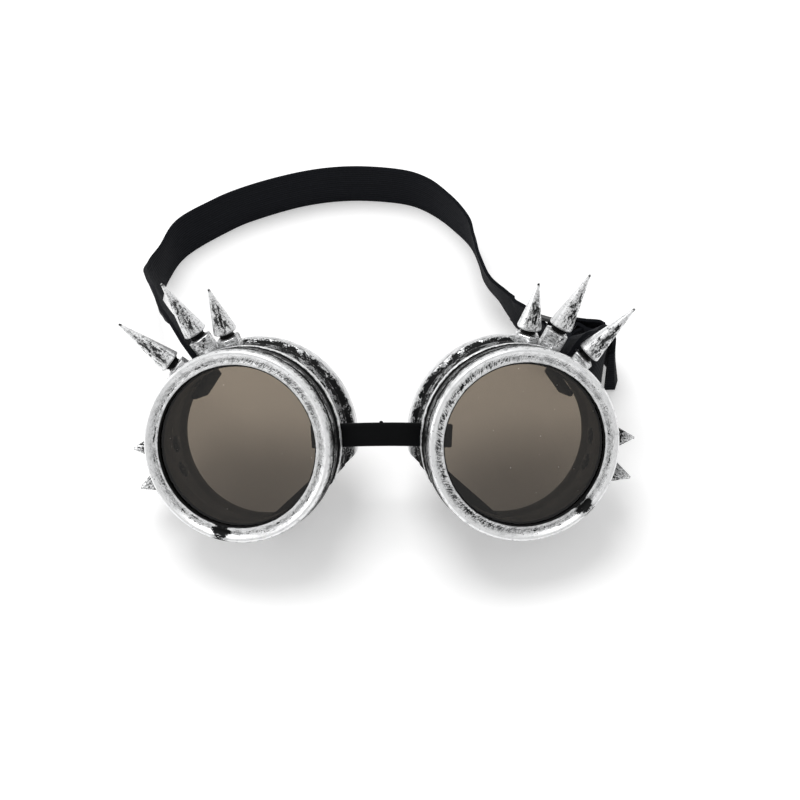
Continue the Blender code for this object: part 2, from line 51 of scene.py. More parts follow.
def fromMiddle(x, y, z):
    return Vector((x, y, z)) + middle


def linked(name, data):
    obj = bpy.data.objects.new(name, data)
    bpy.context.scene.collection.objects.link(obj)
    return obj


# shader maths: an expression on wires adds the Math nodes
class Wire:
    def __init__(self, look, socket):
        self.look, self.socket = look, socket

    def maths(self, operation, *others):
        return self.look.node("ShaderNodeMath", {"operation": operation}, self, *others)

    def __add__(self, other):
        return self.maths("ADD", other)

    def __sub__(self, other):
        return self.maths("SUBTRACT", other)

    def __mul__(self, other):
        return self.maths("MULTIPLY", other)

    def __rsub__(self, other):
        return self.look.node("ShaderNodeMath", {"operation": "SUBTRACT"}, other, self)

    __radd__ = __add__
    __rmul__ = __mul__

    def sine(self):
        return self.maths("SINE")

    def clamped(self):
        return self.look.node("ShaderNodeClamp", {}, self)


class Look:
    def __init__(self, name):
        self.material = bpy.data.materials.new(name)
        self.material.use_nodes = True
        self.tree = self.material.node_tree
        self.shader = self.tree.nodes["Principled BSDF"]

    def plug(self, socket, value):
        if isinstance(value, Wire):
            self.tree.links.new(value.socket, socket)
        elif value is not None:
            socket.default_value = value

    def node(self, kind, settings, *values, out=0, **named):
        made = self.tree.nodes.new(kind)
        for key, value in settings.items():
            if key == "stops":
                ramp = made.color_ramp
                while len(ramp.elements) < len(value):
                    ramp.elements.new(1)
                for element, (place, colour) in zip(ramp.elements, value):
                    element.position, element.color = place, colour
            else:
                setattr(made, key, value)
        for socket, value in zip(made.inputs, values):
            self.plug(socket, value)
        for key, value in named.items():
            self.plug(made.inputs[key.replace("_", " ")], value)
        return Wire(self, made.outputs[out])

    def spot(self):
        return self.node("ShaderNodeTexCoord", {}, out="Object")

    def stored(self, name, out="Fac"):
        return self.node("ShaderNodeAttribute", {"attribute_name": name}, out=out)

    def scaled(self, vector, by):
        return self.node("ShaderNodeVectorMath", {"operation": "MULTIPLY"}, vector, by)

    def grainOf(self, vector, scale, detail=3.0, rough=0.55):
        return self.node("ShaderNodeTexNoise", {}, Vector=vector, Scale=scale, Detail=detail, Roughness=rough)

    def dots(self, vector, scale):
        return self.node("ShaderNodeTexVoronoi", {}, Vector=vector, Scale=scale)

    def step(self, value, low, high):
        settings = {"interpolation_type": "SMOOTHSTEP"}
        return self.node("ShaderNodeMapRange", settings, Value=value, From_Min=low, From_Max=high)

    def between(self, share, one, two):
        # a colour Mix keeps its two colours in the seventh and eighth sockets
        return self.node("ShaderNodeMix", {"data_type": "RGBA"}, share, *[None] * 5, one, two, out=2)

    def relief(self, height, strength, depth):
        return self.node("ShaderNodeBump", {}, Strength=strength, Distance=depth, Height=height)

    def finish(self, **sockets):
        for name, value in sockets.items():
            self.plug(self.shader.inputs[name.replace("_", " ")], value)
        return self.material


def grey(level, warmth=0.0):
    return (level * (1 + warmth), level, level * (1 - warmth), 1)


# worn silver paint over black plastic: the dark mark is high in the grooves; the stroke mark is high where
# the brush hatched it and where shade is painted
agedSilver = {
    "worn": 0.615, "wornInGrooves": 0.34, "strokeEdge": 0.52, "silver": (0.17, 0.92), "black": 0.004,
    "metal": 0.66,
}


def makeAgedSilver():
    look = Look("agedSilver")
    spot, grain, dark = look.spot(), look.stored("grain", "Vector"), look.stored("dark")
    streaks = look.grainOf(grain, 1.15, 5, 0.64)
    flecks = look.grainOf(spot, 2100, 3, 0.62)
    blotches = look.grainOf(spot, 360, 3, 0.55)
    worn = streaks * 0.5 + flecks * 0.27 + blotches * 0.23 + dark * agedSilver["wornInGrooves"]
    edge = agedSilver["worn"]
    black = look.step(worn, edge - 0.012, edge + 0.02)
    pits = look.step(look.dots(spot, 800), 0.17, 0.11) * look.step(blotches, 0.5, 0.6)
    strokes = look.grainOf(look.stored("strokes", "Vector"), 2.3, 3, 0.55)
    edge = agedSilver["strokeEdge"]
    hatched = look.step(strokes * 0.8 + flecks * 0.2 + dark * 0.15, edge, edge + 0.05)
    hatched = hatched * look.stored("stroked")
    black = (black + pits * 0.9 + hatched * 0.85).clamped()
    brushed = look.grainOf(look.scaled(grain, (1, 1, 3.2)), 2.6, 4, 0.7)
    tone = look.step(brushed * 0.75 + blotches * 0.25 - dark * 0.21 - hatched * 0.1, 0.33, 0.57)
    low, high = agedSilver["silver"]
    silver = look.between(tone, grey(low, -0.02), grey(high, -0.005))
    height = brushed * 0.4 - black * 0.8 + flecks * 0.25
    return look.finish(
        Base_Color=look.between(black, silver, grey(agedSilver["black"], -0.06)),
        Metallic=agedSilver["metal"] - black * agedSilver["metal"],
        Roughness=0.44 - tone * 0.14 + black * 0.14,
        Specular_IOR_Level=0.1,
        Normal=look.relief(height, 0.35, 0.00012),
    )


# the round wall grey, the wall beside the nose near black, which is painted shade: each has a plain grey and
# a grey in the scratches
cupPlastic = {"roundWall": (0.24, 0.85), "noseWallShade": (0.006, 0.02), "roughness": 0.55}


def makeCupPlastic():
    look = Look("blackCupPlastic")
    grain = look.stored("grain", "Vector")
    turned = look.grainOf(look.scaled(grain, (0.5, 0.5, 5)), 1.4, 4, 0.65)
    haze = look.grainOf(look.spot(), 120, 3, 0.5)
    # the mark of the wall beside the nose, where the plastic gets its painted shade
    scratch = look.step(turned, 0.56, 0.74)
    noseWallShade = look.stored("stroked")
    pairs = zip(cupPlastic["roundWall"], cupPlastic["noseWallShade"])
    plain, rubbed = (look.between(noseWallShade, grey(one), grey(two)) for one, two in pairs)
    return look.finish(
        Base_Color=look.between(scratch * 0.7 + haze * 0.25, plain, rubbed),
        Roughness=cupPlastic["roughness"] + haze * 0.16 - scratch * 0.1,
        Specular_IOR_Level=0.0,
        Normal=look.relief(turned, 0.25, 0.00008),
    )


# the brown tint is darker on the side towards the camera: that lower colour is painted shade over the lens's
# own tint
lensTint = {
    "colour": (0.215, 0.178, 0.138, 1), "low": (0.175, 0.15, 0.124, 1), "shadeSpan": (-0.078, -0.038),
    "clear": 1.0, "bend": 1.45,
}


def makeLensTint():
    look = Look("brownTintedLens")
    spot = look.spot()
    height = look.node("ShaderNodeSeparateXYZ", {}, spot, out="Y")
    # painted shade: the tint darkens across this span towards the camera side
    shadeFade = look.step(height, *lensTint["shadeSpan"])
    smear = look.grainOf(look.scaled(spot, (1, 0.5, 1)), 70, 3, 0.55)
    dust = look.step(look.dots(spot, 260), 0.045, 0.03)
    colour = look.between(shadeFade, lensTint["low"], lensTint["colour"])
    return look.finish(
        Base_Color=look.between(dust * 0.4, colour, grey(0.8)),
        Roughness=0.02 + look.step(smear, 0.5, 0.8) * 0.1 + dust * 0.3,
        Transmission_Weight=lensTint["clear"],
        IOR=lensTint["bend"],
        Specular_IOR_Level=0.3,
    )


webbing = {
    "colour": (0.0016, 0.0021, 0.0036, 1), "lift": (0.0075, 0.009, 0.0135, 1),
    "ribPitch": 1.05, "pickPitch": 0.62,  # in mm, across and along the band
}


def makeWebbing():
    look = Look("blackElasticWebbing")
    flow = look.node("ShaderNodeUVMap", {"uv_map": "weave"})
    alongIt = look.node("ShaderNodeSeparateXYZ", {}, flow, out="X")
    acrossIt = look.node("ShaderNodeSeparateXYZ", {}, flow, out="Y")
    rib = (acrossIt * (2 * pi / webbing["ribPitch"])).sine() * 0.5 + 0.5
    pick = (alongIt * (2 * pi / webbing["pickPitch"])).sine() * 0.5 + 0.5
    fuzz = look.grainOf(look.spot(), 2600, 2, 0.6)
    streak = look.grainOf(look.scaled(flow, (0.03, 1.2, 1)), 1.6, 4, 0.6)
    weave = rib * 0.6 + pick * rib * 0.3 + fuzz * 0.35
    tone = look.step(weave * 0.5 + streak * 0.7, 0.35, 1.15)
    return look.finish(
        Base_Color=look.between(tone, webbing["colour"], webbing["lift"]),
        Roughness=0.9 - tone * 0.1,
        Specular_IOR_Level=0.16,
        Normal=look.relief(weave, 0.55, 0.00022),
    )


def makeBridgeRubber():
    look = Look("softBlackBridge")
    cloud = look.grainOf(look.spot(), 160, 3, 0.5)
    skin = look.grainOf(look.spot(), 3000, 2, 0.5)
    return look.finish(
        Base_Color=look.between(cloud, grey(0.0015, -0.05), grey(0.004, -0.12)),
        Roughness=0.5 + cloud * 0.16,
        Specular_IOR_Level=0.08,
        Normal=look.relief(skin, 0.12, 0.00005),
    )


def makeSliderPlastic():
    look = Look("blackSliderPlastic")
    cloud = look.grainOf(look.spot(), 300, 3, 0.5)
    skin = look.grainOf(look.spot(), 2200, 2, 0.5)
    return look.finish(
        Base_Color=look.between(cloud, grey(0.012, -0.05), grey(0.028, -0.05)),
        Roughness=0.36 + cloud * 0.18,
        Normal=look.relief(skin, 0.1, 0.00005),
    )


def makeScrewSteel():
    look = Look("blackenedScrewSteel")
    rub = look.step(look.grainOf(look.spot(), 1500, 3, 0.6), 0.52, 0.68)
    return look.finish(
        Base_Color=look.between(rub, grey(0.03), grey(0.22)),
        Metallic=0.8,
        Roughness=0.42 - rub * 0.1,
    )


silverLook, plasticLook, lensLook = makeAgedSilver(), makeCupPlastic(), makeLensTint()
webbingLook, bridgeLook = makeWebbing(), makeBridgeRubber()
sliderLook, screwLook = makeSliderPlastic(), makeScrewSteel()
print("finishes made")


def turnProfile(profile, steps=176, soften=0.12, sharper=16):
    # radius and height in mm, spun round z: a solid from an open profile, a ring from a closed one
    bm = bmesh.new()
    points = [bm.verts.new((r * mm, 0, z * mm)) for r, z, *_ in profile]
    lines = [bm.edges.new(pair) for pair in zip(points, points[1:])]
    if profile[0][0] > 0:
        lines.append(bm.edges.new((points[-1], points[0])))
    bmesh.ops.spin(
        bm, geom=points + lines, cent=(0, 0, 0), axis=(0, 0, 1), dvec=(0, 0, 0),
        angle=2 * pi, steps=steps, use_merge=True, use_duplicate=False,
    )
    bmesh.ops.remove_doubles(bm, verts=bm.verts, dist=0.000002)
    bmesh.ops.recalc_face_normals(bm, faces=bm.faces)
    if soften:
        softenEdges(bm, soften, sharper=sharper)
    return bm


def softenEdges(bm, width, segments=2, sharper=30):
    sharp = [e for e in bm.edges if len(e.link_faces) == 2 and e.calc_face_angle() > radians(sharper)]
    bmesh.ops.bevel(
        bm, geom=sharp, offset=width * mm, offset_type="OFFSET", segments=segments, profile=0.5,
        affect="EDGES", material=-1, clamp_overlap=True,
    )


def block(size, centre, turn=Matrix(), soften=0.0, segments=2):
    bm = bmesh.new()
    bmesh.ops.create_cube(bm, size=1)
    bmesh.ops.scale(bm, vec=Vector(size) * mm, verts=bm.verts)
    if soften:
        softenEdges(bm, soften, segments)
    bmesh.ops.translate(bm, vec=Vector(centre) * mm, verts=bm.verts)
    bmesh.ops.transform(bm, matrix=turn, verts=bm.verts)
    return bm


def looseObject(bm):
    mesh = bpy.data.meshes.new("loose")
    bm.to_mesh(mesh)
    bm.free()
    return linked("loose", mesh)


def carve(bm, cutters):
    target = looseObject(bm)
    tools = [looseObject(cutter) for cutter in cutters]
    for tool in tools:
        cut = target.modifiers.new("cut", "BOOLEAN")
        cut.operation, cut.object, cut.solver = "DIFFERENCE", tool, "EXACT"
    graph = bpy.context.evaluated_depsgraph_get()
    made = bmesh.new()
    made.from_mesh(bpy.data.meshes.new_from_object(target.evaluated_get(graph)))
    for obj in (target, *tools):
        bpy.data.objects.remove(obj, do_unlink=True)
    return made


def joined(*pieces):
    whole = pieces[0]
    for piece in pieces[1:]:
        mesh = bpy.data.meshes.new("join")
        piece.to_mesh(mesh)
        piece.free()
        whole.from_mesh(mesh)
        bpy.data.meshes.remove(mesh)
    return whole


def nearestDark(profile, r, z):
    # how dark the paint is at the profile's point nearest to this one
    best, value = 1e9, 0
    for (r1, z1, d1), (r2, z2, d2) in zip(profile, profile[1:]):
        dr, dz = r2 - r1, z2 - z1
        share = max(0, min(1, ((r - r1) * dr + (z - z1) * dz) / (dr * dr + dz * dz + 1e-9)))
        gap = hypot(r - r1 - share * dr, z - z1 - share * dz)
        if gap < best:
            best, value = gap, d1 + (d2 - d1) * share
    return value


def place(name, bm, looks, body, nodes, seat=Matrix(), inner=None, smooth=38, **marks):
    # marks are functions of the point in mm: grain, dark, strokes, and a mark for brush strokes and painted
    # shade, which the looks read
    mesh = bpy.data.meshes.new(name)
    layers = {}
    for mark in ("grain", "strokes"):
        layers[mark] = bm.verts.layers.float_vector.new(mark)
    for mark in ("dark", "stroked"):
        layers[mark] = bm.verts.layers.float.new(mark)
    for vert in bm.verts:
        p = vert.co / mm
        for mark, layer in layers.items():
            plain = p if mark in ("grain", "strokes") else 0.0
            value = marks[mark](p) if mark in marks else plain
            vert[layer] = Vector(value) if mark in ("grain", "strokes") else value
    for face in bm.faces:
        face.smooth = True
        face.material_index = 1 if inner and inner(face) else 0
    bmesh.ops.transform(bm, matrix=seat, verts=bm.verts)
    bm.to_mesh(mesh)
    bm.free()
    mesh.set_sharp_from_angle(angle=radians(smooth))
    obj = linked(name, mesh)
    for look in looks:
        mesh.materials.append(look)
    if body:
        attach(obj, body)
    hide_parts(*nodes)
    return obj


cupSeat = {"halfSpacing": 42.4, "lensElevation": 49.0, "splay": 10.2, "lensHeight": 40.646}


def cupFrame(side):
    splay, lift = radians(cupSeat["splay"]), radians(cupSeat["lensElevation"])
    out = Vector((side * sin(splay), -cos(splay) * cos(lift), cos(splay) * sin(lift)))
    up = (Vector((0, 0, 1)) - out * out.z).normalized()
    centre = fromMiddle(side * cupSeat["halfSpacing"], 0, cupSeat["lensHeight"])
    turn = Matrix((up.cross(out), up, out)).transposed().to_4x4()
    return Matrix.Translation(centre * mm) @ turn


def atAngle(side, angle):
    return radians(angle if side < 0 else 180 - angle)


def turnedBy(side, angle):
    return Matrix.Rotation(atAngle(side, angle), 4, "Z")


frames = {hand: cupFrame(side) for hand, side in hands.items()}


# each cup's own frame: z out of the lens, y up, the lens's front face at zero; mm and degrees
cup = {
    "wall": 2.0, "bore": 23.6, "depth": 28.0, "flareLean": 18.2, "flare": (12.2, 26.6, 19.8),
    "noseAngle": -36.0, "noseCut": 23.7, "noseLean": 9.2, "noseWall": 3.0, "spikeFoot": 16.2,
    "flange": (25.2, 1.8), "flareIn": (2.8, 0.6),  # how far the inner flare is ahead of the outer one
    "outside": (  # radius, depth behind the lens, how dark the paint is there
        (25.7, 2.3, 0.9), (26.0, 2.6, 1.0), (26.0, 9.2, 1.1), (27.6, 9.5, 1.0), (28.7, 9.65, 0.8),
        (29.05, 9.85, 0.1), (29.2, 10.15, -0.35), (29.2, 11.2, -0.25), (28.9, 11.65, 0.2), (27.6, 12.0, 0.6),
        (26.65, 12.2, 0.7), (26.9, 12.9, 0.25), (27.5, 15.0, 0.12), (28.0, 16.6, 0.32), (28.7, 18.8, 0.5),
        (29.1, 19.8, 0.45), (28.6, 20.5, 0.56), (28.4, 21.2, 0.62), (28.4, 21.9, 0.6), (29.4, 22.5, 0.45),
        (30.2, 23.0, 0.28), (30.55, 23.6, 0.0), (30.7, 24.3, -0.2), (30.7, 26.3, -0.1), (30.45, 27.1, 0.1),
        (30.0, 27.7, 0.25), (29.4, 28.0, 0.35),
    ),
}
bridge = {
    "wide": 7.1, "thick": 1.8, "depth": 15.5, "angle": 14.8, "endRadius": 21.6, "head": 3.4, "tail": 2.8,
    "play": 0.6,
}
slot = {"angle": 136.3, "depth": 18.9, "long": 13.0, "wide": 2.2}
spikes = (  # place, angle, height of the hexagon, length of the cone, lean on the left and right cup
    ("outer", 146.3, 5.2, 19.6, (2.5, 0.0)), ("middle", 126.2, 7.4, 18.4, (2.5, -2.5)),
    ("inner", 112.1, 4.4, 14.4, (2.5, 0.8)),
)
studs = (("upper", 195.0, 3.9, 6.2), ("lower", 213.5, 4.6, 7.4))  # place, angle, radius, height
# each cone's streak of painted shade lies at the shaded-side angle given below
spike = {
    "turn": 1.8, "flats": 6.6, "neck": 1.5, "neckR": 2.1, "neckTop": 2.7, "base": 3.7, "tip": 0.35,
    "rings": 16, "shadedSide": 12, "studHex": 4.2, "studFlats": 5.8,
    "screw": 1.5, "headR": 2.6, "head": 1.5, "grip": 3.0, "fit": 0.3,
}


def spikeFrame(hand, angle, leans=(0.0, 0.0)):
    lean, side = radians(cup["flareLean"]), hands[hand]
    start, startR, _ = cup["flare"]
    turn = atAngle(side, angle) + radians(spike["turn"])
    radius = startR + (cup["spikeFoot"] - start) * tan(lean)
    out = Vector((cos(turn) * cos(lean), sin(turn) * cos(lean), sin(lean)))
    foot = Vector((cos(turn) * radius, sin(turn) * radius, -cup["spikeFoot"])) * mm
    forward = (Vector((0, 0, 1)) - out * out.z).normalized()
    axes = Matrix((forward, out.cross(forward), out)).transposed().to_4x4()
    return Matrix.Translation(foot) @ axes @ Matrix.Rotation(radians(leans[side > 0]), 4, "X")


def noseTrimmed(bm, side, inwards):
    # cuts off the side that leans over the nose, and closes the cut
    turn, lean = turnedBy(side, cup["noseAngle"]), radians(cup["noseLean"])
    bmesh.ops.bisect_plane(
        bm, geom=bm.verts[:] + bm.edges[:] + bm.faces[:], dist=0.0000001,
        plane_co=turn @ (Vector((cup["noseCut"] - inwards, 0, -cup["depth"])) * mm),
        plane_no=turn @ Vector((cos(lean), 0, -sin(lean))), clear_outer=True,
    )
    rim = [e for e in bm.edges if e.is_boundary]
    bmesh.ops.contextual_create(bm, geom=rim)
    bmesh.ops.recalc_face_normals(bm, faces=bm.faces)
    return bm


def makeCup(hand):
    side, deep = hands[hand], cup["depth"]
    slope = tan(radians(cup["flareLean"]))
    start, _, end = cup["flare"]
    shell = [(0, -cup["outside"][0][1])] + [(r, -d) for r, d, _ in cup["outside"]] + [(0, -deep)]
    solid = noseTrimmed(turnProfile(shell, soften=0.14, sharper=20), side, 0)
    neck, neckEnd = start - cup["flareIn"][0], end - cup["flareIn"][1]
    lip, thick = cup["flange"]
    wide = cup["bore"] + (neckEnd - neck) * slope
    hollow = [
        (0, 5), (cup["bore"], 5), (cup["bore"], -neck), (wide, -neckEnd), (wide + 0.2, -deep + thick + 1),
        (lip + 0.4, -deep + thick), (lip, -deep + thick - 0.6), (lip, -deep + 0.5), (lip + 0.5, -deep),
        (lip + 0.5, -deep - 5), (0, -deep - 5),
    ]
    tools = [noseTrimmed(turnProfile(hollow, soften=0.3, sharper=10), side, cup["noseWall"])]
    size = (12, bridge["wide"] + bridge["play"], bridge["thick"] + bridge["play"])
    tools.append(block(size, (26, 0, -bridge["depth"]), turnedBy(side, bridge["angle"])))
    size = (12, slot["wide"], slot["long"])
    tools.append(block(size, (28, 0, -slot["depth"]), turnedBy(side, slot["angle"])))
    for _, angle, _, _, *leans in spikes + studs:
        hole = boreTool(-5, 2)
        bmesh.ops.transform(hole, matrix=spikeFrame(hand, angle, *leans), verts=hole.verts)
        tools.append(hole)
    made = carve(solid, tools)
    profile = [(r, -d, dark) for r, d, dark in cup["outside"]]

    def darkness(p):
        return nearestDark(profile, hypot(p.x, p.y), p.z)

    # the inside of the wall beside the nose, which the cup plastic paints near black as painted shade
    def onNoseWall(p):
        turned, lean = turnedBy(side, cup["noseAngle"]).inverted() @ p, radians(cup["noseLean"])
        away = (turned.x - cup["noseCut"] + cup["noseWall"]) * cos(lean) - (turned.z + deep) * sin(lean)
        return 1.0 if abs(away) < 0.3 else 0.0

    def facesIn(face):
        c = face.calc_center_median()
        flat = Vector((c.x, c.y, 0)).normalized()
        return face.normal.dot(flat) < -0.25

    place(
        f"cup_shell_{hand}", made, (silverLook, plasticLook), f"{hand}_cup", (f"eye_cup_{hand}",),
        frames[hand], grain=lambda p: (p.x * 0.2, p.y * 0.2, p.z * 1.1 + hypot(p.x, p.y)), dark=darkness,
        inner=facesIn, stroked=onNoseWall,
    )


ring = {
    "front": (  # radius, height above the lens's front face, how dark the paint is there
        (24.0, 0.8, 1.2), (24.12, 1.12, 1.05), (24.3, 1.3, 0.7), (24.55, 1.37, -0.1), (24.95, 1.36, -0.2),
        (25.3, 1.22, 0.14), (26.0, 0.95, 0.18), (26.6, 1.2, 0.12), (27.1, 1.65, -0.1), (27.7, 1.97, -0.35),
        (28.2, 1.9, -0.4), (28.7, 1.35, -0.1), (29.0, 0.4, 0.32), (29.0, -1.5, 0.45), (28.85, -1.8, 0.9),
        (28.6, -2.0, 1.2),
        (28.6, -2.5, 1.2), (28.85, -2.7, 0.8), (29.0, -3.0, 0.42), (29.0, -5.2, 0.5), (29.0, -6.5, 0.7),
        (28.9, -6.85, 0.9), (28.6, -7.0, 1.1),
    ),
    "back": ((26.3, -7.0, 1.2), (26.3, -2.2, 1.2), (25.3, -2.2, 1.2), (25.3, 0.3, 1.2), (24.0, 0.3, 1.25)),
    "bare": {"left": ((-90, 4.0),), "right": ((-58, 4.5),)},  # angle, half width
    "ragged": {"left": (200, 70, 0.14), "right": (250, 60, 0.16)},  # lip: angle, half width, how much
    "hatched": {"left": (70, 50, 0.7), "right": (165, 95, 1.0)},  # the same, for the brush strokes
}


def fromAngle(p, angle):
    away = degrees(atan2(p.y, p.x)) - angle
    return abs((away + 180) % 360 - 180)


def makeRing(hand):
    profile = [*ring["front"], *ring["back"]]
    made = turnProfile(profile, steps=224, soften=0.1, sharper=22)

    def darkness(p):
        r = hypot(p.x, p.y)
        amount = nearestDark(profile, r, p.z)
        for angle, half in ring["bare"][hand]:
            amount += 0.62 * max(0, min(1, (half + 3 - fromAngle(p, angle)) / 4)) * (p.z > -1.7)
        angle, half, more = ring["ragged"][hand]
        return amount + more * max(0, min(1, (half - fromAngle(p, angle)) / 25)) * (r < 25.6)

    def strokesAt(p):
        r = hypot(p.x, p.y)
        turn = atan2(p.y, p.x) + (r - 26) * 0.018
        return (cos(turn) * 26, sin(turn) * 26, r * 0.35)

    def strokedAt(p):
        r = hypot(p.x, p.y)
        angle, half, most = ring["hatched"][hand]
        share = max(0.22, min(1, (half - fromAngle(p, angle)) / 30)) * most
        return share * max(0, min(1, (r - 24.6) / 0.4, (27.0 - r) / 0.9)) * (p.z > 0)

    place(
        f"front_ring_{hand}", made, (silverLook,), f"{hand}_ring", (f"lens_ring_{hand}",), frames[hand],
        grain=lambda p: (p.x * 0.26, p.y * 0.26, p.z + hypot(p.x, p.y) * 1.6), dark=darkness,
        strokes=strokesAt, stroked=strokedAt,
    )


lens = {"radius": 25.0, "thick": 2.0, "edge": 0.25}


def makeLens(hand):
    r, t, e = lens["radius"], lens["thick"], lens["edge"]
    disc = turnProfile([(0, 0), (r - e, 0), (r, -e), (r, -t + e), (r - e, -t), (0, -t)], 176, 0.08)
    place(f"tinted_disc_{hand}", disc, (lensLook,), f"{hand}_lens", (f"lens_{hand}",), frames[hand], smooth=4)


def hexBlock(flats, low, high, soften, top=None, segments=3):
    # a straight block, or a pyramid where a top radius is given
    bm = bmesh.new()
    corner = flats / 2 / cos(pi / 6)
    bmesh.ops.create_cone(
        bm, cap_ends=True, segments=6, depth=(high - low) * mm, radius1=corner * mm,
        radius2=(corner if top is None else top) * mm,
    )
    far = max(bm.verts, key=lambda v: v.co.x)
    if abs(far.co.y) > 0.0001:
        bmesh.ops.rotate(bm, cent=(0, 0, 0), matrix=Matrix.Rotation(pi / 6, 3, "Z"), verts=bm.verts)
    bmesh.ops.translate(bm, vec=(0, 0, (low + high) / 2 * mm), verts=bm.verts)
    softenEdges(bm, soften, segments)
    return bm


def boreTool(low, high):
    r = spike["screw"] + spike["fit"]
    return turnProfile([(0, high), (r, high), (r, low), (0, low)], 40, 0)


def panScrew(reach):
    s, under = spike["screw"], -cup["wall"] - spike["fit"] - 0.1
    low, wide = under - spike["head"], spike["headR"]
    shank = turnProfile(
        [(0, reach), (s - 0.3, reach), (s, reach - 0.4), (s, under), (wide, under), (wide, under - 0.6),
         (wide - 0.25, under - 1.0), (wide - 0.8, low + 0.12), (wide - 1.3, low), (0, low)], 40, 0.05,
    )
    cross = [block((2.6, 0.6, 1.5), (0, 0, low)), block((0.6, 2.6, 1.5), (0, 0, low))]
    return carve(shank, cross)


def makeSpike(hand, where, angle, hexHigh, long, leans):
    seat, body = frames[hand] @ spikeFrame(hand, angle, leans), f"{hand}_cup"
    fit, side = spike["fit"], hands[hand]
    nut = carve(hexBlock(spike["flats"], fit, hexHigh, 0.32), [boreTool(-1, hexHigh + 1)])
    place(
        f"spacer_{where}_{hand}", nut, (silverLook,), body, (f"hex_spacer_{where}_{hand}",), seat,
        grain=lambda p: (p.x * 0.3, p.y * 0.3, p.z * 0.3 + angle), dark=lambda p: 0.12, smooth=12,
    )
    low = hexHigh + fit
    base = low + spike["neck"]
    profile = [(0, base + long), (0.18, base + long - 0.04), (0.3, base + long - 0.16)]
    for i in range(spike["rings"] + 1):
        share = i / spike["rings"]
        profile.append((0.35 + (spike["base"] - 0.45) * share, base + 0.9 + (long - 1.3) * (1 - share)))
    profile += [
        (spike["base"], base + 0.5), (spike["base"] - 0.1, base + 0.1), (spike["base"] - 0.4, base),
        (spike["neckTop"], base), (spike["neckR"], low + 0.5), (spike["neckR"] + 0.3, low), (0, low),
    ]
    cone = carve(turnProfile(profile, 72, 0.08), [boreTool(low - 1, base + spike["grip"] + 0.6)])

    # a long black streak down one side, which is painted shade with worn black patches in it, and a dark ring
    # at the tip
    def upCone(p):
        return (p.z - base) / long, max(0, cos(atan2(p.y, p.x) - radians(spike["shadedSide"])))

    def darkness(p):
        if p.z < base + 0.02:
            return 1.4
        share, facing = upCone(p)
        shadeStreak = max(0, 1 - abs(share - 0.4) / 0.46) ** 0.5 * facing**2.5
        tip = 0.3 * max(0, share - 0.7) + 0.9 * max(0, 1 - abs(share - 0.97) / 0.05)
        return 0.62 * shadeStreak - 0.3 + tip

    # the same painted shade streak, where black hatch marks are laid on it
    def shadeStreakAt(p):
        share, facing = upCone(p)
        return min(1, 2.2 * max(0, 1 - abs(share - 0.38) / 0.44) * facing**1.5)

    place(
        f"cone_{where}_{hand}", cone, (silverLook,), body, (f"cone_spike_{where}_{hand}",), seat,
        grain=lambda p: (p.x * 0.6, p.y * 0.6, p.z * 0.24 + angle * 1.7), dark=darkness, stroked=shadeStreakAt,
        strokes=lambda p: (p.x * 0.6, p.y * 0.6, p.z * 0.2 + angle + side),
    )
    screw = panScrew(base + spike["grip"])
    place(f"pan_screw_{where}_{hand}", screw, (screwLook,), body, (f"spike_screw_{where}_{hand}",), seat)


def makeStud(hand, where, angle, radius, high):
    seat, body = frames[hand] @ spikeFrame(hand, angle), f"{hand}_cup"
    top = spike["studHex"]
    nut = carve(hexBlock(spike["studFlats"], spike["fit"], top, 0.28), [boreTool(-1, top + 1)])
    place(
        f"stud_foot_{where}_{hand}", nut, (silverLook,), body, (f"stud_spacer_{where}_{hand}",), seat,
        grain=lambda p: (p.x * 0.5, p.y * 0.5, p.z * 0.6 + angle), dark=lambda p: 0.6, smooth=12,
    )
    low = top + spike["fit"]
    point = hexBlock(2 * radius * cos(pi / 6), low, low + high, 0.1, spike["tip"], 2)
    point = carve(point, [boreTool(low - 1, low + 1.9)])
    place(
        f"stud_point_{where}_{hand}", point, (silverLook,), body, (f"pyramid_stud_{where}_{hand}",), seat,
        grain=lambda p: (p.x, p.y, p.z * 0.4 + angle), smooth=20,
        dark=lambda p: 0.12 + 0.4 * (p.z < low + 0.8),
    )
    screw = panScrew(low + 1.5)
    place(f"small_screw_{where}_{hand}", screw, (screwLook,), body, (f"stud_screw_{where}_{hand}",), seat)


for hand in hands:
    makeCup(hand)
    makeRing(hand)
    makeLens(hand)
    for row in spikes:
        makeSpike(hand, *row)
    for row in studs:
        makeStud(hand, *row)
    print(hand, "cup, ring, lens and spikes made")


def alongKnots(knots, spacing):
    # a knot is a centre, the band's edge-to-edge direction there, and its width
    stations, ends = [], [knots[0], *knots, knots[-1]]
    for one, two, three, four in zip(ends, ends[1:], ends[2:], ends[3:]):
        steps = max(1, round((three[0] - two[0]).length / spacing))
        for i in range(steps):
            u = i / steps
            centre = 0.5 * (
                2 * two[0] + (three[0] - one[0]) * u
                + (2 * one[0] - 5 * two[0] + 4 * three[0] - four[0]) * u**2
                + (3 * two[0] - one[0] - 3 * three[0] + four[0]) * u**3
            )
            ease = u * u * (3 - 2 * u)
            stations.append((centre, two[1].lerp(three[1], ease), two[2] + (three[2] - two[2]) * ease))
    return [*stations, knots[-1]]


def squared(path):
    # turns each edge-to-edge direction square to the run
    stations = []
    for i, (centre, across, wide) in enumerate(path):
        run = (path[min(i + 1, len(path) - 1)][0] - path[max(i - 1, 0)][0]).normalized()
        across = (across - run * across.dot(run)).normalized()
        stations.append((centre, across, run.cross(across), wide))
    return stations


def lengthOf(stations):
    return sum((two[0] - one[0]).length for one, two in zip(stations, stations[1:]))


def nearestStation(face, stations):
    c = face.calc_center_median() / mm
    return min(range(len(stations)), key=lambda i: (stations[i][0] - c).length_squared)


